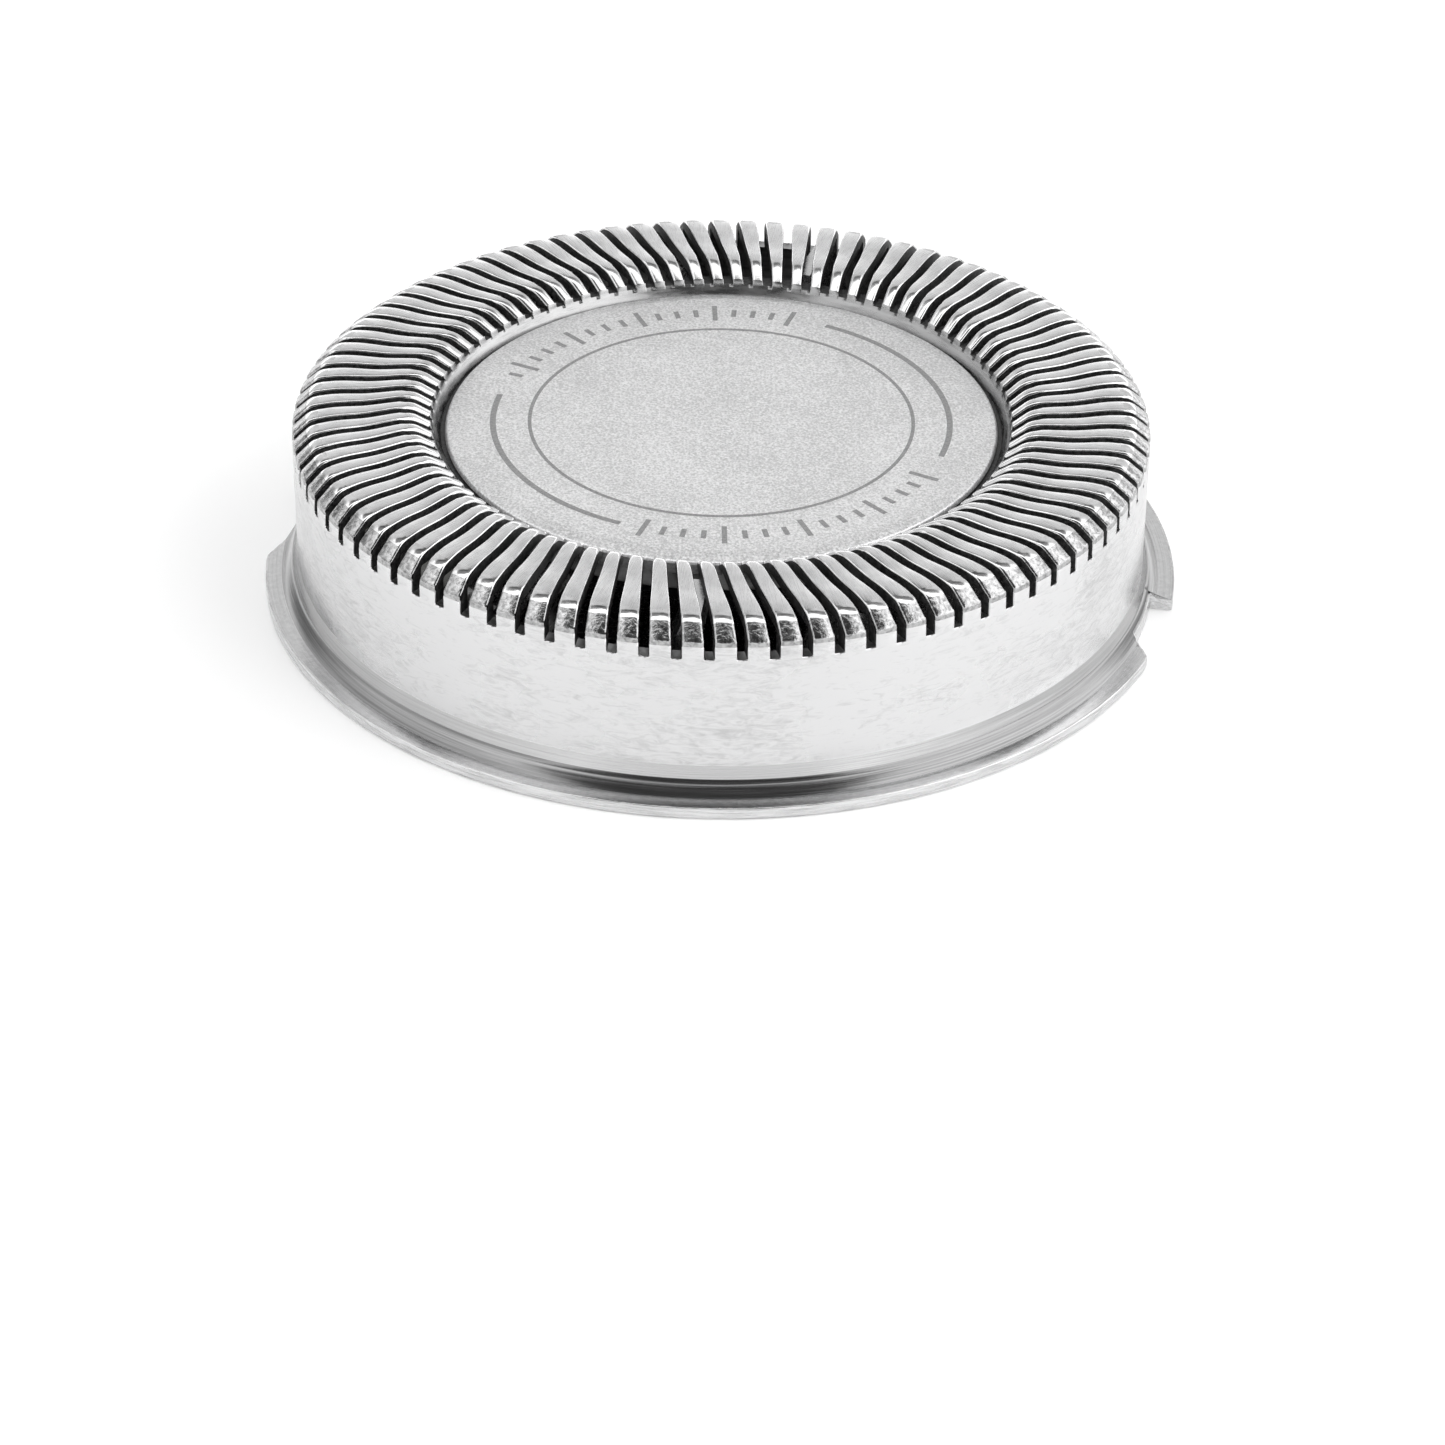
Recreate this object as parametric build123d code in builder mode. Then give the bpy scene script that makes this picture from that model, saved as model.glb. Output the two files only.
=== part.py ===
from build123d import *
import os
from math import asin, cos, degrees, hypot, radians, sin, tan

# Rotary shaver head: a drawn steel guard cap with a ring of slots, a blasted trim
# disc in its dish, and a rotary cutter inside. The cutter is a stamped ring of
# upright blades and a thin ring of lifters, both held on a moulded drive hub.
# Millimetres. The origin is on the spin axis, in the plane of the flange's rim.

# Guard cap: flange, foot and wall
flange_d = 25.0             # across the flange
flange_w = 0.915            # from the wall out to the flange's edge
flange_t = 0.33
cap_h = 5.17                # from the rim to the crown
lower_cove_w = 0.34         # the wall's foot is a cove, a fine step and a slope
lower_cove_h = 0.29
cove_depth = 0.06
foot_step_w = 0.03
foot_step_h = 0.07
foot_slope_w = 0.11
foot_slope_h = 0.32
bevel_w = 0.43              # bevel round the top of the wall
bevel_h = 0.365
edge_w = 0.09               # broken edge between the bevel and the crown
edge_h = 0.06
wall_t = 0.40
rim_flare = 0.28            # flare inside the rim

# Guard cap: crown, dish and the channel that the blades run in
crown_w = 3.985             # from the wall's face in to the dish floor's edge
crown_t = 0.37              # crown to the underside that the blades run on
crest_w = 0.60              # slope from the broken edge up to the outer crest
crest_h = 0.045
valley_depth = 0.035        # hollow between the crown's two crests
shoulder_w = 0.36           # slope from the inner crest to the rounded inner edge
shoulder_h = 0.07
bead_w = 0.46               # rounded inner edge
bead_h = 0.355
bead_bulge = 0.065
dish_slope_w = 0.22         # lean of the dish's side
web_t = 0.42                # between the dish's side and the channel
web_slope_w = 0.26          # lean of the channel's inner side
floor_t = 0.30              # dish floor

# Guard cap: slots
slot_count = 88
slot_w = 0.25
slot_skew = 1.70            # each slot's line misses the axis by this much
slot_phase = 3.17           # degrees
slot_foot_drop = 0.975      # crown to the slots' ends on the outer wall
bar_inset = 0.03            # the bars' flat ends lie this far inside the round walls
cut_margin = 0.40           # run-out of the cuts beyond the metal

# Guard cap: flange notches, each as its floor's two ends and its mouth's two ends,
# in degrees anticlockwise from +X. The mouths lean back into the front tongue.
right_notch = (-20.5, -9.8, -23.5, -9.8)
left_notch = (162.0, 174.5, 162.0, 181.0)
notch_floor_w = 0.30        # what a notch leaves outside the wall
tongue_r = 0.50             # rounded corners of the front tongue

# Trim disc
disc_drop = 0.55            # crown to the disc's face
disc_t = 0.28
disc_gap = 0.12             # open gap round the disc
disc_roll_w = 0.50          # rolled edge of the disc
disc_roll_h = 0.20
disc_roll_bulge = 0.06

# Cutter: blade ring
blade_count = 15
shear_gap = 0.05            # blade tops to the crown's underside
blade_gap_out = 0.42        # blades to the cap's wall
blade_gap_in = 0.34         # blades to the channel's inner side
blade_h = 3.20              # from the ring's underside to the blade tops
blade_t = 0.40
blade_rake = 20.0           # degrees, tops forward
blade_lag = 0.55            # bend line behind the arm's radius
inner_bend = 0.12           # broken corners where each arm bends up
outer_bend = 0.30
arm_w = 1.50
plate_gap = 0.60            # ring plate's edge to the blades' inner ends

# Cutter: lifter ring
lifter_t = 0.18
lifter_gap = 0.06           # lifter to the blade's leading face
lifter_drop = 0.25          # lifter tips below the blade tops
lifter_tip_h = 0.30         # height of the sharpened tips
lifter_inset = 0.15         # lifters are this much narrower at each end
lifter_arm_w = 0.95

# Cutter: drive hub
rim_clear = 0.35            # hub's foot above the rim
barrel_d = 8.40
ring_clear = 0.03           # ring bores on the barrel and its keys
key_count = 3
key_w = 1.40
key_h = 0.45                # keys stand out of the barrel by this much
seat_w = 2.20               # seat flange under the rings
seat_t = 0.40
lip_w = 0.80                # staked lip over the rings
lip_t = 0.35
boss_d = 3.60
cone_h = 0.95               # from the lip up to the boss
thrust_gap = 0.10           # boss shoulder to the dish floor
pin_d = 1.80
pin_clear = 0.04            # pin to the bearing hole
pin_gap = 0.05              # pin's end to the trim disc
pin_chamfer = 0.08
socket_l = 4.60
socket_w = 3.00
socket_depth = 2.20
socket_lead = 0.20          # lead-in round the mouth of the socket

# Radii and heights worked out from the sizes above
r_flange = flange_d / 2
r_wall = r_flange - flange_w
r_channel_out = r_wall - wall_t
r_dish = r_wall - crown_w
r_bead = r_dish + dish_slope_w
r_shoulder = r_bead + bead_w
r_crest_in = r_shoulder + shoulder_w
r_edge = r_wall - bevel_w
r_crown = r_edge - edge_w
r_crest_out = r_crown - crest_w
r_web_low = r_dish + web_t
r_web_top = r_web_low + web_slope_w
r_disc = r_dish - disc_gap
r_pin = pin_d / 2
r_barrel = barrel_d / 2
z_under = cap_h - crown_t
z_crown = cap_h - crest_h
z_edge = z_crown - edge_h
z_shoulder = cap_h - shoulder_h
z_bead = z_shoulder - bead_h
z_disc = cap_h - disc_drop
z_floor = z_disc - disc_t
z_floor_low = z_floor - floor_t
z_slot_foot = cap_h - slot_foot_drop
r_ring_top = r_bead - bar_inset
r_blade_out = r_channel_out - blade_gap_out
r_blade_in = r_web_top + blade_gap_in
r_plate = r_blade_in - plate_gap
z_blade_top = z_under - shear_gap
z_plate = z_blade_top - blade_h
z_plate_top = z_plate + blade_t
z_lifter = z_plate - lifter_t
z_seat = z_lifter - seat_t
z_lip = z_plate_top + lip_t
z_cone = z_lip + cone_h
z_thrust = z_floor_low - thrust_gap


def bowed(start, end, depth):
    """Two slopes in place of a shallow curve, bowed off the chord by a depth."""
    run, rise = end[0] - start[0], end[1] - start[1]
    length = hypot(run, rise)
    middle = ((start[0] + end[0]) / 2 + depth * rise / length,
              (start[1] + end[1]) / 2 - depth * run / length)
    return start, middle, end


def slot_side(direction, side, along):
    """Point in plan on one side of a slot that runs in a direction, past the axis."""
    turn = radians(direction)
    off = side * slot_w / 2 - slot_skew
    return along * cos(turn) - off * sin(turn), along * sin(turn) + off * cos(turn)


# One bar of the crown, between two slots. It is flat across: over so narrow a bar
# the roundness of the crown is under a hundredth of a millimetre.
pitch = 360 / slot_count
bar_lean = degrees(asin(slot_skew / r_wall))
with BuildPart() as crown_bar:
    with BuildSketch(Plane.XZ):
        with BuildLine():
            x_out = r_wall - bar_inset
            x_wall = r_channel_out + bar_inset
            x_web = r_web_top - 2 * bar_inset
            Polyline((x_out, z_slot_foot), (x_out, z_edge - bevel_h), (r_edge, z_edge),
                     (r_crown, z_crown), (r_crest_out, cap_h))
            SagittaArc((r_crest_out, cap_h), (r_crest_in, cap_h), valley_depth)
            Polyline((r_crest_in, cap_h),
                     *bowed((r_shoulder, z_shoulder), (r_bead, z_bead), bead_bulge),
                     (x_web, z_bead), (x_web, z_under), (x_wall, z_under),
                     (x_wall, z_slot_foot), (x_out, z_slot_foot))
        make_face()
    extrude(amount=r_wall / 4, both=True)
    with BuildSketch():
        with BuildLine():
            near, far = r_dish - cut_margin, r_flange
            Polyline(slot_side(bar_lean - pitch / 2, 1, near),
                     slot_side(bar_lean - pitch / 2, 1, far),
                     slot_side(bar_lean + pitch / 2, -1, far),
                     slot_side(bar_lean + pitch / 2, -1, near), close=True)
        make_face()
    extrude(amount=cap_h + cut_margin, mode=Mode.INTERSECT)

# Guard cap
with BuildPart() as guard_cap:
    with BuildSketch(Plane.XZ):
        with BuildLine():
            blank_edge = (r_flange + cut_margin, flange_t)
            step_low = (r_wall + foot_slope_w + foot_step_w, flange_t + lower_cove_h)
            step_high = (r_wall + foot_slope_w, step_low[1] + foot_step_h)
            cove_foot = (step_low[0] + lower_cove_w, flange_t)
            Polyline((r_channel_out + rim_flare, 0), (blank_edge[0], 0), blank_edge,
                     *bowed(cove_foot, step_low, cove_depth), step_high,
                     (r_wall, step_high[1] + foot_slope_h), (r_wall, z_slot_foot),
                     (r_channel_out, z_slot_foot), (r_channel_out, rim_flare), close=True)
        make_face()
        with BuildLine():
            Polyline((r_ring_top, z_bead), (r_dish, z_floor), (r_pin + pin_clear, z_floor),
                     (r_pin + pin_clear, z_floor_low), (r_web_low, z_floor_low),
                     (r_web_top, z_bead), close=True)
        make_face()
    revolve(axis=Axis.Z)

    # The flange is trimmed from its blank to a rear and a front tongue
    with BuildSketch() as flange_trim:
        with BuildLine():
            floors = [CenterArc((0, 0), r_wall + notch_floor_w, notch[0], notch[1] - notch[0])
                      for notch in (right_notch, left_notch)]
            rear = CenterArc((0, 0), r_flange, right_notch[3], left_notch[2] - right_notch[3])
            front = CenterArc((0, 0), r_flange, left_notch[3],
                              right_notch[2] + 360 - left_notch[3])
            Line(floors[0] @ 1, rear @ 0)
            Line(rear @ 1, floors[1] @ 0)
            Line(floors[1] @ 1, front @ 0)
            Line(front @ 1, floors[0] @ 0)
        make_face()
        fillet([flange_trim.vertices().sort_by_distance(front @ end)[0] for end in (0, 1)],
               tongue_r)
    extrude(amount=cap_h + cut_margin, mode=Mode.INTERSECT)

    # The bars bridge from the outer wall to the ring round the dish
    with PolarLocations(0, slot_count, start_angle=slot_phase + pitch / 2 - bar_lean):
        add(crown_bar.part)

# Trim disc, seated on the dish floor
with BuildPart() as trim_disc:
    with BuildSketch(Plane.XZ):
        with BuildLine():
            roll_foot = (r_disc, z_disc - disc_roll_h)
            roll_top = (r_disc - disc_roll_w, z_disc)
            Polyline((0, z_disc), (0, z_floor), (r_disc, z_floor),
                     *bowed(roll_foot, roll_top, disc_roll_bulge), close=True)
        make_face()
    revolve(axis=Axis.Z)

# Cutter: the blades lean along the ring, so their sections are drawn across their run
rake = tan(radians(blade_rake))
blade_run = blade_t / cos(radians(blade_rake))
lifter_run = lifter_t / cos(radians(blade_rake))
y_bend = -blade_lag


def ring_bore():
    """Bore of a ring that sits on the hub's barrel and its keys."""
    Circle(r_barrel + ring_clear, mode=Mode.SUBTRACT)
    with PolarLocations(0, key_count):
        with Locations((r_barrel, 0)):
            Rectangle(2 * (key_h + ring_clear), key_w + 2 * ring_clear, mode=Mode.SUBTRACT)


# Blade ring: a flat plate with arms, each bent up into a raked blade
with BuildPart() as blade_ring:
    with BuildSketch(Plane.XY.offset(z_plate)):
        Circle(r_plate)
        with PolarLocations(0, blade_count):
            with Locations((r_plate, y_bend - outer_bend - arm_w / 2)):
                Rectangle(2 * plate_gap, arm_w)
        ring_bore()
    extrude(amount=blade_t)
    with BuildSketch(Plane.YZ.offset(r_blade_in)):
        with BuildLine():
            y_tip = y_bend + blade_h * rake
            y_arm = y_bend - outer_bend - arm_w
            y_inside = y_bend + (blade_t + inner_bend) * rake - blade_run
            Polyline((y_arm, z_plate), (y_bend - outer_bend, z_plate),
                     (y_bend + outer_bend * rake, z_plate + outer_bend),
                     (y_tip, z_blade_top), (y_tip - blade_run, z_blade_top),
                     (y_inside, z_plate_top + inner_bend),
                     (y_inside - inner_bend, z_plate_top), (y_arm, z_plate_top), close=True)
        make_face()
    blade = extrude(amount=r_blade_out - r_blade_in, mode=Mode.PRIVATE)
    with PolarLocations(0, blade_count):
        add(blade)

# Lifter ring: a thin plate under the blade ring, with a pointed lifter before each blade
with BuildPart() as lifter_ring:
    y_back = y_bend + lifter_gap / cos(radians(blade_rake)) - lifter_t * rake
    y_front = y_back + lifter_run + lifter_t * rake
    lifter_h = blade_h + lifter_t - lifter_drop
    with BuildSketch(Plane.XY.offset(z_lifter)):
        Circle(r_plate)
        with PolarLocations(0, blade_count):
            with Locations((r_plate, y_back + lifter_arm_w / 2)):
                Rectangle(2 * (plate_gap + lifter_inset), lifter_arm_w)
        ring_bore()
    extrude(amount=lifter_t)
    with BuildSketch(Plane.YZ.offset(r_blade_in + lifter_inset)):
        with BuildLine():
            y_point = y_back + lifter_h * rake
            y_bevel = y_back + lifter_run + (lifter_h - lifter_tip_h) * rake
            Polyline((y_back, z_lifter), (y_point, z_lifter + lifter_h),
                     (y_bevel, z_lifter + lifter_h - lifter_tip_h), (y_front, z_plate),
                     (y_back + lifter_arm_w, z_plate), (y_back + lifter_arm_w, z_lifter),
                     close=True)
        make_face()
    lifter = extrude(amount=r_blade_out - r_blade_in - 2 * lifter_inset, mode=Mode.PRIVATE)
    with PolarLocations(0, blade_count):
        add(lifter)

# Drive hub: moulded, with its seat under the rings, a staked lip over them, a boss
# and a pin that runs in the dish floor, and the socket for the drive shaft below
with BuildPart() as drive_hub:
    with BuildSketch(Plane.XZ):
        with BuildLine():
            Polyline((0, rim_clear), (r_barrel, rim_clear), (r_barrel, z_seat),
                     (r_barrel + seat_w, z_seat), (r_barrel + seat_w, z_lifter),
                     (r_barrel, z_lifter), (r_barrel, z_plate_top),
                     (r_barrel + lip_w, z_plate_top), (r_barrel + lip_w, z_lip),
                     (boss_d / 2, z_cone), (boss_d / 2, z_thrust), (r_pin, z_thrust),
                     (r_pin, z_floor - pin_gap - pin_chamfer),
                     (r_pin - pin_chamfer, z_floor - pin_gap), (0, z_floor - pin_gap),
                     close=True)
        make_face()
    revolve(axis=Axis.Z)
    with BuildSketch(Plane.XY.offset(z_lifter)):
        with PolarLocations(0, key_count):
            with Locations((r_barrel, 0)):
                Rectangle(2 * key_h, key_w)
    extrude(amount=z_plate_top - z_lifter)
    with BuildSketch(Plane.XY.offset(rim_clear)):
        SlotOverall(socket_l, socket_w)
    extrude(amount=socket_depth, mode=Mode.SUBTRACT)
    mouth = drive_hub.faces().filter_by(Axis.Z).sort_by(Axis.Z)[0]
    chamfer(mouth.inner_wires()[0].edges(), socket_lead)

guard_cap.part.label = "guard_cap"
trim_disc.part.label = "trim_disc"
blade_ring.part.label = "blade_ring"
lifter_ring.part.label = "lifter_ring"
drive_hub.part.label = "drive_hub"

os.makedirs("parts", exist_ok=True)
export_step(guard_cap.part, "parts/guard_cap.step")
export_step(trim_disc.part, "parts/trim_disc.step")
export_step(blade_ring.part, "parts/blade_ring.step")
export_step(lifter_ring.part, "parts/lifter_ring.step")
export_step(drive_hub.part, "parts/drive_hub.step")
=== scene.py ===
from math import asin, atan2, cos, degrees, hypot, pi, radians, sin, sqrt

import bpy
import numpy as np
from mathutils import Matrix


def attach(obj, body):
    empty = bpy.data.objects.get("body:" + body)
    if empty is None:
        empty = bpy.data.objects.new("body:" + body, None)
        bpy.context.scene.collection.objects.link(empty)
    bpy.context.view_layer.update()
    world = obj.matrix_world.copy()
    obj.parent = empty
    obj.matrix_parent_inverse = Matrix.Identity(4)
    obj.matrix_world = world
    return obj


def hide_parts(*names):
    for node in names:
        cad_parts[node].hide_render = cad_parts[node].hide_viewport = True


# Looks of the shaver head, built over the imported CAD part. Lengths here are in
# millimetres and turn into metres where a mesh or a place is made.

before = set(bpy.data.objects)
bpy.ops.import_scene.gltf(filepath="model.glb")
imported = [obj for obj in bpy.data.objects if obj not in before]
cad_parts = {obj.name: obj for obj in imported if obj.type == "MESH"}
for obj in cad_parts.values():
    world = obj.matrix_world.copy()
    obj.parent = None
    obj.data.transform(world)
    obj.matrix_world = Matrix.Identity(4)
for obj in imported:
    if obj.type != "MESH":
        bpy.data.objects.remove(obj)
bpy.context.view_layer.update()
MM = 0.001

# Camera, fitted to the photograph, with places and the focal length in its pixels
PHOTO_W = 1445.0
ORIGIN_ACROSS, ORIGIN_DOWN = 719.952, 565.918
FOCAL = 4526.92
VIEW_ELEVATION, VIEW_ROLL = 30.899, -0.568
VIEW_DISTANCE = 125.1


def add_camera():
    rise = radians(VIEW_ELEVATION)
    place = np.array((0.0, -VIEW_DISTANCE * cos(rise), VIEW_DISTANCE * sin(rise)))
    ahead = -place / np.linalg.norm(place)
    right = np.array((1.0, 0.0, 0.0))
    axes = np.stack((right, np.cross(right, ahead), -ahead))
    middle = PHOTO_W / 2
    pan = atan2(ORIGIN_ACROSS - middle, FOCAL)
    tilt = atan2(middle - ORIGIN_DOWN, FOCAL)
    roll = radians(VIEW_ROLL)
    turn_y = np.array(((cos(pan), 0, -sin(pan)), (0, 1, 0), (sin(pan), 0, cos(pan))))
    turn_x = np.array(((1, 0, 0), (0, cos(tilt), -sin(tilt)), (0, sin(tilt), cos(tilt))))
    turn_z = np.array(((cos(roll), -sin(roll), 0), (sin(roll), cos(roll), 0), (0, 0, 1)))
    axes = turn_y @ turn_x @ turn_z @ axes
    lens = bpy.data.cameras.new("photo_camera")
    lens.sensor_fit, lens.sensor_width = "HORIZONTAL", 36.0
    lens.lens = FOCAL / PHOTO_W * lens.sensor_width
    lens.clip_start, lens.clip_end = 0.005, 20.0
    camera = bpy.data.objects.new("photo_camera", lens)
    bpy.context.scene.collection.objects.link(camera)
    pose = Matrix([[*row, p * MM] for row, p in zip(axes.T.tolist(), place)] + [[0, 0, 0, 1]])
    camera.matrix_world = pose
    bpy.context.scene.camera = camera


# Sizes of the part
R_FLANGE, R_WALL, R_CHANNEL = 12.495, 11.585, 11.185
CAP_H, FLANGE_T, RIM_FLARE = 5.17, 0.33, 0.28
R_CREST_OUT, R_VALLEY, R_CREST_IN = 10.42, 9.58, 8.68
R_BEAD, R_DISH, R_WEB_LOW, R_WEB_TOP = 7.82, 7.60, 8.02, 8.28
Z_FOOT, Z_BEVEL, Z_VALLEY, Z_BEAD, Z_UNDER = 4.195, 4.70, 5.135, 4.69, 4.80
Z_FLOOR, Z_FLOOR_LOW = 4.34, 4.04
Z_CREST = CAP_H - 0.002
# Corners of the outline as (r, z): the wall's foot, the edge over the bevel, and a bar's inner end
COVE_LOW, COVE_TOP = (12.04, FLANGE_T), (11.725, 0.62)
FOOT_STEP, FOOT_TOP = (11.70, 0.69), (11.593, 1.015)
EDGE_CORNER, CROWN_START = (11.09, 5.122), (10.86, 5.141)
SHOULDER, END_TOP = (8.32, 5.135), (7.87, 4.825)
END_CORNER, END_LOW = (7.85, 4.80), (7.83, Z_BEAD + 0.04)
R_SMOOTH = 11.34                # the bevel is rough outside this radius
BORE_R = 0.94
SLOTS, SLOT_W, SLOT_SKEW, SLOT_PHASE = 88, 0.25, 1.70, 3.17
NOTCH_FLOOR_R = R_WALL + 0.30
# Each notch: where its floor starts and ends, and where its mouth starts and ends
RIGHT_NOTCH = (-20.5, -9.8, -23.5, -9.8)
LEFT_NOTCH = (162.0, 174.5, 162.0, 181.0)
TONGUE_R = 0.50
R_RIM, RIM_W = 12.4, 0.06       # where the trimmed rim starts, and its width over a notch
SLOT_END_SAG = 0.05             # how much lower a slot's end is in its middle
LEAST_EDGE = 0.035              # least width of the columns along a bar's edges
MOUTH_REACH = 10.5              # degrees beside a notch's floor that its mouth can take up
R_DISC, Z_DISC, DISC_ROLL_W, DISC_ROLL_H = 7.48, 4.62, 0.43, 0.20
DISC_EYE = 0.02                 # the skin's innermost ring
# The print: the whole ring, the arcs as (start, sweep) and the scales as (start, end) in degrees
RING_R, RING_W, ARC_R, ARC_W = 5.19, 0.10, 6.18, 0.16
ARCS = ((168, 77), (-18, 80))
SCALES = ((251, 331), (72, 157))
LONG_MARK, SHORT_MARK, MARK_W = (5.72, 6.58), (5.95, 6.35), 0.14
MARK_STEP, MARKS_TO_A_LONG = 5, 4
INK_LOW, INK_HIGH = Z_DISC - 0.004, Z_DISC + 0.004

PITCH = 360 / SLOTS


# Outlines
def rounded(points, step=14.0):
    """A chain of (x, y, radius) corners as points, with an arc at each corner."""
    out = []
    for i, (x, y, radius) in enumerate(points):
        here = np.array((x, y), float)
        if radius <= 0 or i in (0, len(points) - 1):
            out.append((x, y))
            continue
        before = np.array(points[i - 1][:2]) - here
        after = np.array(points[i + 1][:2]) - here
        a, b = np.linalg.norm(before), np.linalg.norm(after)
        before, after = before / a, after / b
        half = np.arccos(np.clip(before @ after, -1, 1)) / 2
        back = min(radius / np.tan(half), 0.49 * a, 0.49 * b)
        turn = 180 - 2 * degrees(half)
        count = max(1, round(turn / step))
        p0, p2 = here + before * back, here + after * back
        weight = sin(half)
        for j in range(count + 1):
            t = j / count
            w = ((1 - t) ** 2, 2 * t * (1 - t) * weight, t * t)
            out.append(tuple((w[0] * p0 + w[1] * here + w[2] * p2) / sum(w)))
    return out


def arc(start, end, bulge, count):
    """Points from start to end along a parabola that stands a bulge off the chord."""
    s, e = np.array(start, float), np.array(end, float)
    d = (e - s) / np.linalg.norm(e - s)
    side = np.array((d[1], -d[0]))
    return [tuple(s + (e - s) * t + side * bulge * 4 * t * (1 - t))
            for t in (j / count for j in range(count + 1))]


def wave(start, end, count, from_half=0.0):
    """Points from start to end along half a wave, level at its ends, or at the end only."""
    share = [j / count for j in range(count + 1)]
    ease = [(1 - cos(pi * (from_half + (1 - from_half) * t))) / 2 for t in share]
    ease = [(v - ease[0]) / (1 - ease[0]) for v in ease]
    return [(start[0] + (end[0] - start[0]) * t, start[1] + (end[1] - start[1]) * v)
            for t, v in zip(share, ease)]


def round_point(r, deg):
    return np.array((r * cos(radians(deg)), r * sin(radians(deg))))


def mouth(notch, end):
    """One leaning mouth of a notch: its line, the side that the metal is on, and the centre of
    the rounded corner."""
    foot, lip = round_point(NOTCH_FLOOR_R, notch[end]), round_point(R_FLANGE, notch[end + 2])
    along = (lip - foot) / np.linalg.norm(lip - foot)
    side = 1 if end else -1
    metal = np.array((-along[1], along[0])) * side
    base = foot + metal * TONGUE_R
    b = base @ along
    reach = -b + sqrt(b * b - base @ base + (R_FLANGE - TONGUE_R) ** 2)
    return foot, along, metal, base + along * reach, side


MOUTHS = (mouth(RIGHT_NOTCH, 0), mouth(LEFT_NOTCH, 1))


def flange_radius(deg):
    """How far the trimmed flange reaches in a direction, in degrees from +X."""
    deg = (deg + 90) % 360 - 90
    if RIGHT_NOTCH[0] <= deg < RIGHT_NOTCH[1] or LEFT_NOTCH[0] < deg <= LEFT_NOTCH[1]:
        return NOTCH_FLOOR_R
    ray = round_point(1.0, deg)
    beside = (RIGHT_NOTCH[0] - MOUTH_REACH < deg < RIGHT_NOTCH[0],
              LEFT_NOTCH[1] < deg < LEFT_NOTCH[1] + MOUTH_REACH)
    for (foot, along, metal, centre, side), near in zip(MOUTHS, beside):
        if not near:
            continue
        cross = ray[0] * along[1] - ray[1] * along[0]
        line = (foot[0] * along[1] - foot[1] * along[0]) / cross
        touch = centre - metal * TONGUE_R
        past = (line * ray - touch) @ along
        if past <= 0:
            return line
        b = ray @ centre
        root = TONGUE_R ** 2 - centre @ centre + b * b
        ahead = degrees(atan2(centre[1], centre[0])) % 360
        beyond = (deg % 360) - ahead
        if root > 0 and beyond * side < 0:
            return min(R_FLANGE, b + sqrt(root))
    return R_FLANGE


# Mesh making
def make_piece(name, verts, faces, materials, index=None, angle=50.0):
    mesh = bpy.data.meshes.new(name)
    mesh.from_pydata([tuple(c * MM for c in v) for v in verts], [], faces)
    for m in materials:
        mesh.materials.append(m)
    if index is not None:
        mesh.polygons.foreach_set("material_index", index)
    mesh.validate(clean_customdata=False)
    mesh.shade_smooth()
    mesh.set_sharp_from_angle(angle=radians(angle))
    obj = bpy.data.objects.new(name, mesh)
    bpy.context.scene.collection.objects.link(obj)
    even = obj.modifiers.new("even_normals", "WEIGHTED_NORMAL")
    even.keep_sharp = True
    return obj


def lathe(profile, segments, start=0.0, sweep=360.0):
    """Vertices and faces of a closed profile of (r, z) points turned about the axis."""
    whole = sweep >= 360
    columns = segments if whole else segments + 1
    verts, faces = [], []
    for j in range(columns):
        a = radians(start + sweep * j / segments)
        verts += [(r * cos(a), r * sin(a), z) for r, z in profile]
    n = len(profile)
    for j in range(segments):
        k = (j + 1) % columns
        for i in range(n):
            m = (i + 1) % n
            faces.append((j * n + i, k * n + i, k * n + m, j * n + m))
    if not whole:
        faces.append(tuple(range(n))[::-1])
        faces.append(tuple((columns - 1) * n + i for i in range(n)))
    return verts, faces


# Guard cap
# PAINTED_SHADE is the near-black material of painted shade, for the slot walls, the dish floor
# ring and the disc's side
WALL, BEVEL, CROWN, EDGE, BEAD, DISH, FOOT, COVE, FLANGE, RIM, INSIDE, PAINTED_SHADE = range(12)
# Columns of the mesh in one pitch: a bar's side, its rounded edge, its middle, its other edge
# and side, and the middle of the slot. Faces are named by the column that they start from.
COLUMNS = range(8)
FIRST_SIDE, LAST_SIDE, SLOT_MIDDLE = 0, 6, 7
EDGE_COLUMNS = (0, 1, 4, 5)
OFF_THE_SIDE = (0.0, 0.3, 1.0, 9.0, 1.0, 0.3, 0.0, 0.0)     # in edge radii


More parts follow.
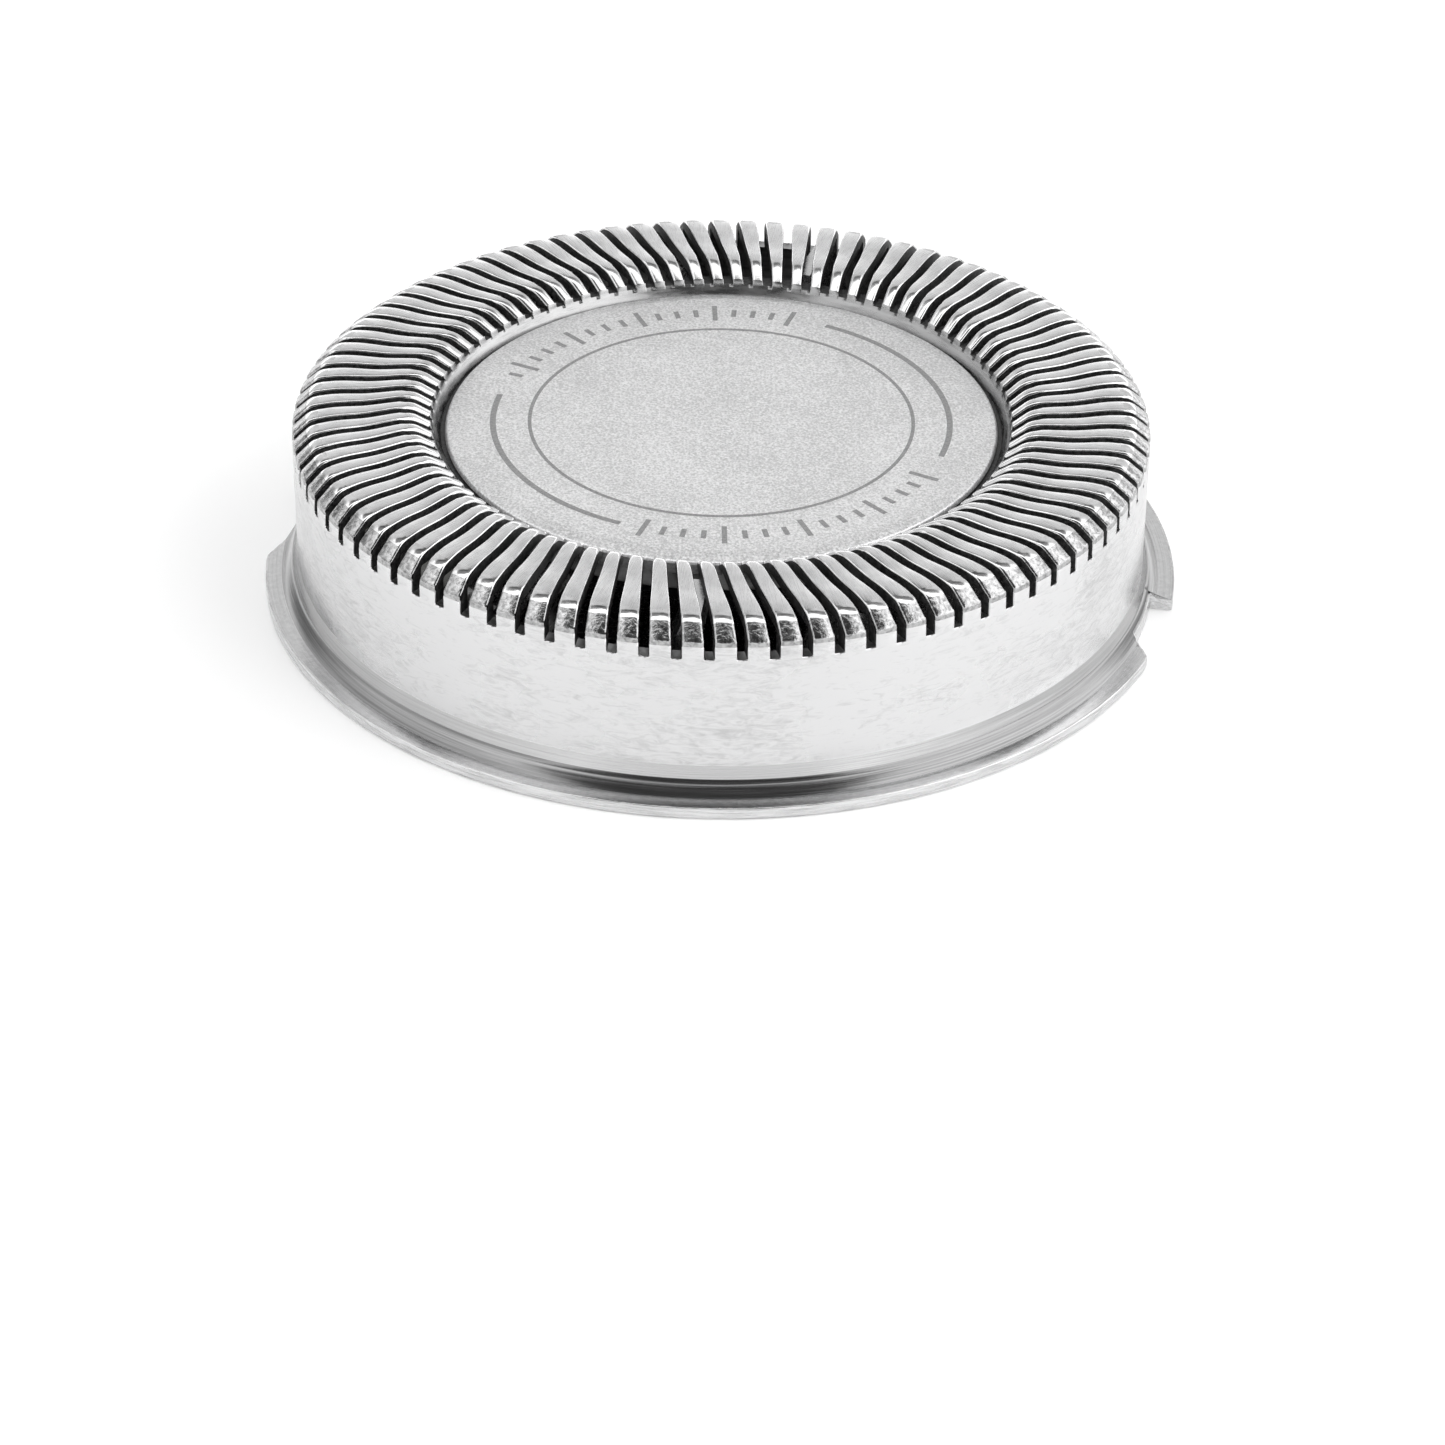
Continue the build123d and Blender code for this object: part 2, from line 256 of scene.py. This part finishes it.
def cap_rows():
    """The cap's outline as rows of (r, z, material, edge radius, in the slots or not)."""
    rows = []

    def put(points, material, edge=0.0, slit=False):
        for r, z in points:
            if not rows or hypot(rows[-1][0] - r, rows[-1][1] - z) > 1e-6:
                rows.append((r, z, material, edge, slit))

    # flange, from the rim inside round to the wall's foot
    put(rounded(((R_CHANNEL + RIM_FLARE, 0, 0), (R_FLANGE, 0, 0.05), (R_FLANGE, FLANGE_T, 0.06),
                 (12.43, FLANGE_T, 0)), 20), RIM)
    put(((12.42, FLANGE_T), (12.047, FLANGE_T)), FLANGE)
    put(arc(COVE_LOW, COVE_TOP, 0.022, 6), COVE)
    put(rounded(((*COVE_TOP, 0), (*FOOT_STEP, 0.02), (*FOOT_TOP, 0)), 12), FOOT)
    put(rounded(((*FOOT_TOP, 0), (R_WALL, 1.04, 0.2), (R_WALL, 1.25, 0)), 5), WALL)
    put(((R_WALL, 1.30), (R_WALL, 2.0), (R_WALL, 3.1), (R_WALL, Z_FOOT - 0.12),
         (R_WALL, Z_FOOT - 0.05), (R_WALL, Z_FOOT - 0.015)), WALL, 0.05)
    # slots: wall, bevel, crown and rounded inner edge
    put(((R_WALL, Z_FOOT), (R_WALL, Z_FOOT + 0.03), (R_WALL, Z_BEVEL - 0.16)), WALL, 0.05, True)
    bevel = rounded(((R_WALL, Z_BEVEL - 0.15, 0), (R_WALL, Z_BEVEL, 0.30), (*EDGE_CORNER, 0.90),
                     (10.80, 5.146, 0)), 5)[:-1]
    put([point for point in bevel if point[0] > R_SMOOTH], BEVEL, 0.07, True)
    put([point for point in bevel if point[0] <= R_SMOOTH], EDGE, 0.07, True)
    put(wave(CROWN_START, (R_CREST_OUT, Z_CREST), 4, 0.5), CROWN, 0.045, True)
    put(wave((R_CREST_OUT, Z_CREST), (R_VALLEY, Z_VALLEY), 6), CROWN, 0.045, True)
    put(wave((R_VALLEY, Z_VALLEY), (R_CREST_IN, Z_CREST), 6), CROWN, 0.045, True)
    put(rounded(((R_CREST_IN, Z_CREST, 0), (*SHOULDER, 0.75), (*END_TOP, 0)), 5),
        BEAD, 0.08, True)
    put(rounded(((7.865, 4.82, 0), (*END_CORNER, 0.02), (*END_LOW, 0)), 20), DISH, 0.035, True)
    put(((R_BEAD, Z_BEAD),), DISH, 0.0, True)
    put(rounded(((7.78, Z_BEAD - 0.10, 0), (R_DISH, Z_FLOOR + 0.07, 0)), 20), DISH)
    # painted shade: the dish floor ring in the gap round the disc is near-black
    put(((R_DISH, Z_FLOOR), (7.3, Z_FLOOR)), PAINTED_SHADE)
    put(((BORE_R, Z_FLOOR), (BORE_R, Z_FLOOR_LOW), (4.0, Z_FLOOR_LOW)), INSIDE)
    put(rounded(((4.0, Z_FLOOR_LOW, 0), (R_WEB_LOW, Z_FLOOR_LOW, 0.12), (R_WEB_TOP, Z_BEAD, 0)),
                30), INSIDE)
    inner_start = len(rows) - 1
    put(rounded(((R_WEB_TOP, Z_BEAD, 0), (R_WEB_TOP, Z_UNDER, 0.03), (R_CHANNEL, Z_UNDER, 0.10),
                 (R_CHANNEL, Z_FOOT, 0)), 30), INSIDE, 0.0, True)
    rows[inner_start] = (*rows[inner_start][:4], True)
    put(((R_CHANNEL, 2.0), (R_CHANNEL, RIM_FLARE)), INSIDE)
    return rows


def column_angle(k, kind, r, edge):
    """Direction of a column at a radius, in degrees. The slots miss the axis, so the
    direction changes with the radius."""
    r = min(max(r, R_DISH), R_WALL)
    left = SLOT_PHASE + k * PITCH + degrees(asin((SLOT_W / 2 - SLOT_SKEW) / r))
    right = SLOT_PHASE + (k + 1) * PITCH + degrees(asin((-SLOT_W / 2 - SLOT_SKEW) / r))
    past = SLOT_PHASE + (k + 1) * PITCH + degrees(asin(-SLOT_SKEW / r))
    inset = degrees(max(edge, LEAST_EDGE) / r)
    return (left, left + 0.3 * inset, left + inset, (left + right) / 2, right - inset,
            right - 0.3 * inset, right, past)[kind]


def outward(points):
    """Unit normals of the closed outline at its points."""
    def unit(v):
        return v / np.maximum(np.linalg.norm(v, axis=1, keepdims=True), 1e-9)

    ahead, behind = np.roll(points, -1, 0) - points, points - np.roll(points, 1, 0)
    along = unit(unit(ahead) + unit(behind))
    return np.stack((along[:, 1], -along[:, 0]), 1)


def flange_columns(columns):
    """Direction and reach of each column at the flange, with columns moved onto its corners."""
    dirs = np.array([column_angle(k, kind, R_WALL, 0.05) for k, kind in columns])
    reach = np.array([flange_radius(d) for d in dirs])
    for corner, radii in ((RIGHT_NOTCH[0], None), (RIGHT_NOTCH[1], (NOTCH_FLOOR_R, R_FLANGE)),
                          (LEFT_NOTCH[0], (R_FLANGE, NOTCH_FLOOR_R)), (LEFT_NOTCH[1], None)):
        off = (dirs - corner + 180) % 360 - 180
        below = int(np.argmax(np.where(off <= 0, off, -999)))
        above = int(np.argmin(np.where(off > 0, off, 999)))
        if radii is None:
            near = below if -off[below] < off[above] else above
            dirs[near] -= off[near]
            reach[near] = NOTCH_FLOOR_R
        else:
            for j, radius in zip((below, above), radii):
                dirs[j] -= off[j]
                reach[j] = radius
    return dirs, reach


def edge_sink(kind, r, z, edge, inside):
    """How far a point lies under the outline, where a bar's or a slot's edge is rounded."""
    gap = OFF_THE_SIDE[kind] * edge
    if not inside:
        beyond = (Z_FOOT - z) if r > 10 else (Z_BEAD - z)
        gap = hypot(gap if kind in range(1, 6) else 0.0, beyond)
    if gap >= edge or (kind == SLOT_MIDDLE and inside):
        return 0.0
    return edge - sqrt(edge ** 2 - (edge - gap) ** 2)


def guard_cap(materials):
    rows = cap_rows()
    n = len(rows)
    points = np.array([row[:2] for row in rows])
    normal = outward(points)
    slit = [row[4] for row in rows]
    first_out = slit.index(True)
    last_out = next(i for i in range(first_out, n) if not slit[i]) - 1
    first_in = next(i for i in range(last_out + 1, n) if slit[i])
    last_in = max(i for i in range(n) if slit[i])
    columns = [(k, kind) for k in range(SLOTS) for kind in COLUMNS]
    dirs, reach = flange_columns(columns)
    # rows that follow the flange's cut outline, and of those the rim's
    flange_rows = [i for i, row in enumerate(rows)
                   if row[2] in (FOOT, COVE, FLANGE, RIM) and row[1] < 0.9]
    rim_rows = [i for i in flange_rows if points[i][0] > R_RIM]
    slope = points[[i for i in flange_rows if i > rim_rows[-1]][::-1]]
    verts = []
    for j, (k, kind) in enumerate(columns):
        cut = R_FLANGE - reach[j]
        for i, (r, z, _, edge, inside) in enumerate(rows):
            if i in flange_rows:
                a = dirs[j]
                if i in rim_rows:
                    top = np.interp(R_FLANGE - cut, slope[:, 0], slope[:, 1])
                    r -= cut
                    z = z if z < 0.1 else z + top - FLANGE_T
                elif i > rim_rows[-1] and r > reach[j] - RIM_W:
                    r = reach[j] - RIM_W
                    z = float(np.interp(r, slope[:, 0], slope[:, 1]))
            else:
                sink = edge_sink(kind, r, z, edge, inside) if edge > 0 else 0.0
                r -= normal[i][0] * sink
                if i not in (first_out, last_out):
                    z -= normal[i][1] * sink
                if kind == SLOT_MIDDLE and i == first_out:
                    z -= SLOT_END_SAG
                a = column_angle(k, kind, r, edge)
            a = radians(a)
            verts.append((r * cos(a), r * sin(a), z))
    faces, index = [], []
    for j, (k, kind) in enumerate(columns):
        following = (j + 1) % len(columns)
        hole = kind in (LAST_SIDE, SLOT_MIDDLE)
        for i in range(n):
            m = (i + 1) % n
            if hole and slit[i] and slit[m]:
                continue
            faces.append((j * n + i, following * n + i, following * n + m, j * n + m))
            edge_face = rows[i][2] == CROWN and kind in EDGE_COLUMNS
            index.append(EDGE if edge_face else rows[i][2])
        if hole:
            # painted shade: the face across a slot's inner end is near-black, and so are each
            # bar's side walls below
            faces.append((j * n + first_out, following * n + first_out,
                          following * n + last_in, j * n + last_in))
            faces.append((j * n + last_out, j * n + first_in, following * n + first_in,
                          following * n + last_out))
            index += [INSIDE, PAINTED_SHADE]
        if kind in (FIRST_SIDE, LAST_SIDE):
            ring = [*range(first_out, last_out + 1), *range(first_in, last_in + 1)]
            ring = [j * n + i for i in ring]
            faces.append(tuple(ring[::-1] if kind == LAST_SIDE else ring))
            index.append(PAINTED_SHADE)
    used = sorted({v for f in faces for v in f})
    place = {v: i for i, v in enumerate(used)}
    verts = [verts[v] for v in used]
    faces = [tuple(place[v] for v in f) for f in faces]
    cap = make_piece("cap_shell", verts, faces, materials, index)
    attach(cap, "guard")
    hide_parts("guard_cap")


# Materials
class Graph:
    """A small helper round a node tree."""

    def __init__(self, tree):
        self.nodes, self.links = tree.nodes, tree.links

    def new(self, kind, **values):
        node = self.nodes.new(kind)
        for key, value in values.items():
            setattr(node, key, value)
        return node

    def join(self, source, target):
        if isinstance(source, (int, float)):
            target.default_value = source
        else:
            self.links.new(source, target)

    def maths(self, what, a, b=0.0):
        node = self.new("ShaderNodeMath", operation=what)
        self.join(a, node.inputs[0])
        self.join(b, node.inputs[1])
        return node.outputs[0]

    def span(self, value, low, high, to_low, to_high):
        """A value that goes softly from one end to the other while its source crosses a band."""
        node = self.new("ShaderNodeMapRange", clamp=True, interpolation_type="SMOOTHSTEP")
        self.join(value, node.inputs["Value"])
        for name, v in (("From Min", low), ("From Max", high), ("To Min", to_low),
                        ("To Max", to_high)):
            node.inputs[name].default_value = v
        return node.outputs[0]


class Look(Graph):
    """One material, with its place on the part as the source of all its patterns."""

    def __init__(self, name, colour, metallic, roughness):
        self.material = bpy.data.materials.new(name)
        self.material.use_nodes = True
        super().__init__(self.material.node_tree)
        self.shader = next(n for n in self.nodes if n.type == "BSDF_PRINCIPLED")
        self.shader.inputs["Base Color"].default_value = (*colour, 1)
        self.shader.inputs["Metallic"].default_value = metallic
        self.shader.inputs["Roughness"].default_value = roughness
        self.place = self.new("ShaderNodeTexCoord").outputs["Object"]

    def polar(self, across, along, up):
        """Coordinates round the axis: turns, radius and height, each stretched."""
        axes = self.new("ShaderNodeSeparateXYZ")
        self.join(self.place, axes.inputs[0])
        x, y, z = axes.outputs
        turn = self.maths("ARCTAN2", y, x)
        radius = self.maths("SQRT", self.maths("ADD", self.maths("MULTIPLY", x, x),
                                               self.maths("MULTIPLY", y, y)))
        out = self.new("ShaderNodeCombineXYZ")
        self.join(self.maths("MULTIPLY", turn, across), out.inputs[0])
        self.join(self.maths("MULTIPLY", radius, along / MM), out.inputs[1])
        self.join(self.maths("MULTIPLY", z, up / MM), out.inputs[2])
        return out.outputs[0]

    def scaled(self, per_mm):
        node = self.new("ShaderNodeVectorMath", operation="SCALE")
        self.join(self.place, node.inputs[0])
        node.inputs["Scale"].default_value = per_mm / MM
        return node.outputs[0]

    def noise(self, where, scale=1.0, detail=3.0, rough=0.55, distortion=0.0):
        node = self.new("ShaderNodeTexNoise")
        self.join(where, node.inputs["Vector"])
        node.inputs["Scale"].default_value = scale
        node.inputs["Detail"].default_value = detail
        node.inputs["Roughness"].default_value = rough
        node.inputs["Distortion"].default_value = distortion
        return node.outputs["Fac"]

    def shade(self, value, dark, light, low=0.35, high=0.65):
        """Base colour between two greys by a value."""
        ramp = self.new("ShaderNodeValToRGB")
        self.join(value, ramp.inputs[0])
        for element, at, tone in zip(ramp.color_ramp.elements, (low, high), (dark, light)):
            element.position, element.color = at, (*tone, 1)
        self.links.new(ramp.outputs[0], self.shader.inputs["Base Color"])

    def rough(self, value, low, high):
        self.links.new(self.span(value, 0.3, 0.7, low, high), self.shader.inputs["Roughness"])

    def bump(self, value, height, strength=1.0, after=None):
        node = self.new("ShaderNodeBump")
        node.inputs["Strength"].default_value = strength
        node.inputs["Distance"].default_value = height * MM
        self.join(value, node.inputs["Height"])
        if after is not None:
            self.links.new(after, node.inputs["Normal"])
        self.links.new(node.outputs[0], self.shader.inputs["Normal"])
        return node.outputs[0]


def grey(v):
    """A grey with a trace of blue."""
    return (v, v, v * 1.005)


def wall_look():
    look = Look("drawn_wall", grey(0.72), 1.0, 0.26)
    marks = look.noise(look.polar(17.0, 1.0, 5.0), 1.0, 6.0, 0.72, 1.4)
    patch = look.noise(look.polar(4.0, 0.3, 0.5), 1.0, 2.0, 0.5)
    both = look.maths("ADD", look.maths("MULTIPLY", marks, 0.72),
                      look.maths("MULTIPLY", patch, 0.28))
    look.shade(both, grey(0.54), grey(0.71), 0.35, 0.52)
    look.rough(patch, 0.20, 0.32)
    first = look.bump(both, 0.006, 0.8)
    look.bump(patch, 0.02, 0.3, first)
    return look.material


def bevel_look():
    look = Look("polished_bevel", grey(0.88), 1.0, 0.10)
    lumps = look.noise(look.scaled(8.0), 1.0, 4.0, 0.62, 0.5)
    look.shade(lumps, grey(0.22), grey(0.49), 0.34, 0.58)
    look.rough(lumps, 0.06, 0.16)
    look.bump(lumps, 0.016, 0.8)
    return look.material


def crown_look():
    look = Look("ground_crown", grey(0.72), 1.0, 0.30)
    grain = look.noise(look.polar(300.0, 1.4, 1.0), 1.0, 3.0, 0.6)
    cloud = look.noise(look.scaled(2.2), 1.0, 4.0, 0.6)
    mixed = look.maths("ADD", look.maths("MULTIPLY", grain, 0.5),
                       look.maths("MULTIPLY", cloud, 0.5))
    look.shade(mixed, grey(0.64), grey(0.80), 0.38, 0.60)
    look.rough(grain, 0.24, 0.36)
    look.bump(mixed, 0.004, 0.7)
    return look.material


def edge_look():
    look = Look("burnished_edge", grey(0.90), 1.0, 0.12)
    lumps = look.noise(look.scaled(4.0), 1.0, 3.0, 0.6)
    look.shade(lumps, grey(0.56), grey(0.76), 0.3, 0.6)
    look.rough(lumps, 0.08, 0.20)
    look.bump(lumps, 0.006, 0.6)
    return look.material


def bead_look():
    look = Look("polished_beads", grey(0.90), 1.0, 0.26)
    lumps = look.noise(look.scaled(3.0), 1.0, 3.0, 0.6)
    look.shade(lumps, grey(0.56), grey(0.72), 0.3, 0.6)
    look.rough(lumps, 0.14, 0.24)
    look.bump(lumps, 0.006, 0.6)
    return look.material


# painted shade: greys darker than the wall's, for the shade in the recess round the disc; the
# drawn lines are the sheet's own
def dish_look():
    look = Look("drawn_dish_painted_shade", grey(0.38), 1.0, 0.26)
    lines = look.noise(look.polar(10.0, 7.0, 7.0), 1.0, 3.0, 0.6)
    look.shade(lines, grey(0.30), grey(0.44), 0.3, 0.6)
    look.rough(lines, 0.20, 0.34)
    look.bump(lines, 0.004, 0.6)
    return look.material


# painted shade: used for the wall's foot and for the cove under it, with darker greys than the
# wall, for the shade in the crease at the wall's base; the rolled lines are the sheet's own
def foot_look(name, dark, light):
    look = Look(name, grey(dark), 1.0, 0.20)
    lines = look.noise(look.polar(3.0, 26.0, 26.0), 1.0, 4.0, 0.7)
    look.shade(lines, grey(dark), grey(light), 0.36, 0.60)
    look.rough(lines, 0.14, 0.26)
    look.bump(lines, 0.0010, 0.6)
    return look.material


def flange_look():
    look = Look("rolled_flange", grey(0.78), 1.0, 0.12)
    lines = look.noise(look.polar(2.2, 40.0, 40.0), 1.0, 4.0, 0.7)
    pits = look.noise(look.scaled(6.0), 1.0, 5.0, 0.65)
    mixed = look.maths("ADD", look.maths("MULTIPLY", lines, 0.62),
                       look.maths("MULTIPLY", pits, 0.38))
    look.shade(mixed, grey(0.54), grey(0.70), 0.38, 0.60)
    look.rough(mixed, 0.12, 0.22)
    look.bump(mixed, 0.0008, 0.7)
    return look.material


def rim_look():
    look = Look("trimmed_rim", grey(0.66), 1.0, 0.28)
    lines = look.noise(look.polar(9.0, 6.0, 14.0), 1.0, 4.0, 0.65)
    look.shade(lines, grey(0.48), grey(0.74), 0.34, 0.60)
    look.rough(lines, 0.20, 0.36)
    look.bump(lines, 0.006, 0.7)
    return look.material


def inside_look():
    look = Look("cap_inside", grey(0.46), 1.0, 0.38)
    lines = look.noise(look.polar(8.0, 8.0, 8.0), 1.0, 3.0, 0.6)
    look.shade(lines, grey(0.34), grey(0.50), 0.3, 0.65)
    look.rough(lines, 0.30, 0.46)
    look.bump(lines, 0.004, 0.6)
    return look.material


# painted shade: a near-black that stands in for the shade in the slots, on the dish floor ring and
# on the disc's side
def painted_shade_look():
    look = Look("painted_shade_dark", grey(0.10), 0.7, 0.55)
    grit = look.noise(look.scaled(9.0), 1.0, 4.0, 0.65)
    look.shade(grit, grey(0.035), grey(0.13), 0.36, 0.68)
    look.rough(grit, 0.45, 0.65)
    look.bump(grit, 0.01, 0.6)
    return look.material


def disc_look():
    look = Look("blasted_disc", grey(0.76), 1.0, 0.46)
    grit = look.noise(look.scaled(15.0), 1.0, 2.0, 0.7)
    cloud = look.noise(look.scaled(0.4), 1.0, 2.0, 0.5)
    mixed = look.maths("ADD", look.maths("MULTIPLY", grit, 0.85),
                       look.maths("MULTIPLY", cloud, 0.15))
    look.shade(mixed, grey(0.62), grey(0.97), 0.38, 0.62)
    look.rough(grit, 0.34, 0.52)
    look.bump(grit, 0.017, 1.0)
    return look.material


def ink_look():
    look = Look("etched_grey", grey(0.30), 0.6, 0.5)
    grit = look.noise(look.scaled(13.0), 1.0, 2.0, 0.7)
    look.shade(grit, grey(0.25), grey(0.38), 0.36, 0.64)
    look.rough(grit, 0.44, 0.60)
    look.bump(grit, 0.010, 0.7)
    return look.material


def blade_look():
    look = Look("blade_steel_look", grey(0.62), 1.0, 0.24)
    lines = look.noise(look.scaled(2.0), 4.0, 4.0, 0.65)
    look.shade(lines, grey(0.50), grey(0.70), 0.3, 0.65)
    look.rough(lines, 0.18, 0.34)
    look.bump(lines, 0.005, 0.6)
    return look.material


def spring_look():
    look = Look("spring_steel_look", (0.60, 0.60, 0.585), 1.0, 0.30)
    lines = look.noise(look.scaled(2.0), 3.0, 4.0, 0.65)
    look.shade(lines, (0.46, 0.46, 0.445), (0.68, 0.68, 0.665), 0.3, 0.65)
    look.rough(lines, 0.24, 0.40)
    look.bump(lines, 0.005, 0.6)
    return look.material


def hub_look():
    look = Look("hub_plastic_look", (0.045, 0.047, 0.052), 0.0, 0.45)
    grit = look.noise(look.scaled(5.0), 1.0, 4.0, 0.6)
    look.shade(grit, (0.035, 0.037, 0.041), (0.062, 0.064, 0.070), 0.3, 0.7)
    look.rough(grit, 0.38, 0.55)
    look.bump(grit, 0.012, 0.7)
    return look.material


# Trim disc
# the slit argument is the near-black material of painted shade
def trim_disc(slit):
    skin = [(r, Z_DISC) for r in (DISC_EYE, 1.5, 3.0, 4.5, 6.0, 6.85)]
    roll = rounded(((6.9, Z_DISC, 0), (R_DISC - DISC_ROLL_W, Z_DISC, 0.60),
                    (R_DISC - 0.05, Z_DISC - 0.085, 0.09), (R_DISC, Z_DISC - DISC_ROLL_H, 0)), 4)
    profile = roll[::-1] + skin[::-1] + [(DISC_EYE, Z_FLOOR), (R_DISC - 0.03, Z_FLOOR),
                                         (R_DISC, Z_FLOOR + 0.03)]
    verts, faces = lathe(profile, 192)
    n = len(profile)
    # the disc's side is in the shade of the gap round it
    dark = [1 if i % n in (n - 2, n - 1) else 0 for i in range(len(faces))]
    disc = make_piece("disc_plate", verts, faces, [disc_look(), slit], dark, angle=40)
    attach(disc, "guard")
    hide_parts("trim_disc")


def ink_band(r, width, start, sweep, segments):
    """One printed line along an arc, a hair above the disc."""
    profile = [(r + width / 2, INK_LOW), (r + width / 2, INK_HIGH), (r - width / 2, INK_HIGH),
               (r - width / 2, INK_LOW)]
    return lathe(profile, segments, start, sweep)


def ink_mark(ends, deg):
    """One short radial line of the printed scales, between two radii."""
    a = radians(deg)
    out, side = np.array((cos(a), sin(a))), np.array((-sin(a), cos(a))) * MARK_W / 2
    ring = [out * ends[0] - side, out * ends[1] - side, out * ends[1] + side, out * ends[0] + side]
    verts = [(*p, INK_LOW) for p in ring] + [(*p, INK_HIGH) for p in ring]
    faces = [(3, 2, 1, 0), (4, 5, 6, 7)] + [(i, (i + 1) % 4, 4 + (i + 1) % 4, 4 + i)
                                            for i in range(4)]
    return verts, faces


def disc_print():
    parts = [ink_band(RING_R, RING_W, 0, 360, 160)]
    parts += [ink_band(ARC_R, ARC_W, start, sweep, 60) for start, sweep in ARCS]
    for start, end in SCALES:
        count = round((end - start) / MARK_STEP)
        for i in range(count + 1):
            ends = SHORT_MARK if i % MARKS_TO_A_LONG else LONG_MARK
            parts.append(ink_mark(ends, start + (end - start) * i / count))
    verts, faces = [], []
    for v, f in parts:
        base = len(verts)
        verts += v
        faces += [tuple(base + i for i in face) for face in f]
    print_piece = make_piece("disc_print", verts, faces, [ink_look()], angle=30)
    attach(print_piece, "guard")


# Cutter
def dress_cutter():
    for node, look, width in (("blade_ring", blade_look(), 0.025),
                              ("lifter_ring", spring_look(), 0.015),
                              ("drive_hub", hub_look(), 0.05)):
        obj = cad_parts[node]
        obj.data.materials.clear()
        obj.data.materials.append(look)
        edge = obj.modifiers.new("soft_edges", "BEVEL")
        edge.width, edge.segments, edge.limit_method = width * MM, 2, "ANGLE"
        edge.angle_limit = radians(40)
        edge.harden_normals = False


# Floor and light
FLOOR_HALF_M = 3.0              # in metres
FLOOR_DROP = 0.01
TENT_LIGHT = 2.15


def add_floor():
    corners = [(x * FLOOR_HALF_M, y * FLOOR_HALF_M, 0)
               for x, y in ((-1, -1), (1, -1), (1, 1), (-1, 1))]
    mesh = bpy.data.meshes.new("floor")
    mesh.from_pydata(corners, [], [(0, 1, 2, 3)])
    look = Look("pale_floor", (0.96, 0.96, 0.96), 0.0, 0.6)
    look.shade(look.noise(look.scaled(0.05), 1.0, 2.0), (0.95, 0.95, 0.95), (0.97, 0.97, 0.97))
    # a table lit a little from below, as under a white cut-out
    look.shader.inputs["Emission Color"].default_value = (1, 1, 1, 1)
    look.shader.inputs["Emission Strength"].default_value = 0.15
    mesh.materials.append(look.material)
    floor = bpy.data.objects.new("floor", mesh)
    bpy.context.scene.collection.objects.link(floor)
    floor.location.z = -FLOOR_DROP * MM


def add_light():
    """A white tent, painted by direction: x is to the right, y away from the camera, z up."""
    world = bpy.data.worlds.new("studio")
    bpy.context.scene.world = world
    world.use_nodes = True
    graph = Graph(world.node_tree)
    maths, span = graph.maths, graph.span
    back = next(n for n in graph.nodes if n.type == "BACKGROUND")
    back.inputs["Strength"].default_value = 1.0
    axes = graph.new("ShaderNodeSeparateXYZ")
    graph.join(graph.new("ShaderNodeTexCoord").outputs["Generated"], axes.inputs[0])
    x, y, z = axes.outputs

    def dimmed(light, share, *bands):
        """The light, less a share of it where all the bands meet."""
        area = bands[0]
        for band in bands[1:]:
            area = maths("MULTIPLY", area, band)
        return maths("MULTIPLY", light, maths("SUBTRACT", 1.0, maths("MULTIPLY", area, share)))

    # a grey wall behind the object
    light = dimmed(TENT_LIGHT, 0.615, span(y, 0.35, 0.60, 0.0, 1.0), span(z, 0.10, 0.25, 0.0, 1.0))
    # a dark slit between that wall and the white roof
    light = dimmed(light, 0.84, span(y, 0.10, 0.24, 0.0, 1.0), span(z, 0.70, 0.77, 0.0, 1.0),
                   span(z, 0.945, 0.970, 1.0, 0.0))
    # darker on the left, most of all low down
    left, over_floor = span(x, -0.52, -0.72, 0.0, 1.0), span(z, 0.02, 0.12, 0.0, 1.0)
    light = dimmed(light, 0.34, left, over_floor, span(z, 0.42, 0.60, 1.0, 0.0))
    light = dimmed(light, 0.36, left, over_floor, span(z, 0.76, 0.86, 1.0, 0.0))
    # the opening in front, where the camera stands, a little left of the middle
    off_middle = maths("ABSOLUTE", maths("ADD", x, 0.03))
    light = dimmed(light, 0.95, span(off_middle, 0.42, 0.58, 1.0, 0.0),
                   span(y, -0.16, -0.30, 0.0, 1.0), span(z, 0.02, 0.20, 0.0, 1.0))
    tone = graph.new("ShaderNodeCombineXYZ")
    for socket in tone.inputs:
        graph.join(light, socket)
    graph.join(tone.outputs[0], back.inputs["Color"])


# Scene
add_camera()
painted_shade_material = painted_shade_look()
guard_cap([wall_look(), bevel_look(), crown_look(), edge_look(), bead_look(), dish_look(),
           foot_look("rolled_foot_painted_shade", 0.34, 0.46), foot_look("rolled_cove_painted_shade", 0.20, 0.30),
           flange_look(), rim_look(), inside_look(), painted_shade_material])
trim_disc(painted_shade_material)
disc_print()
dress_cutter()
add_floor()
add_light()
bpy.context.scene.view_settings.view_transform = "Standard"

bpy.context.view_layer.update()
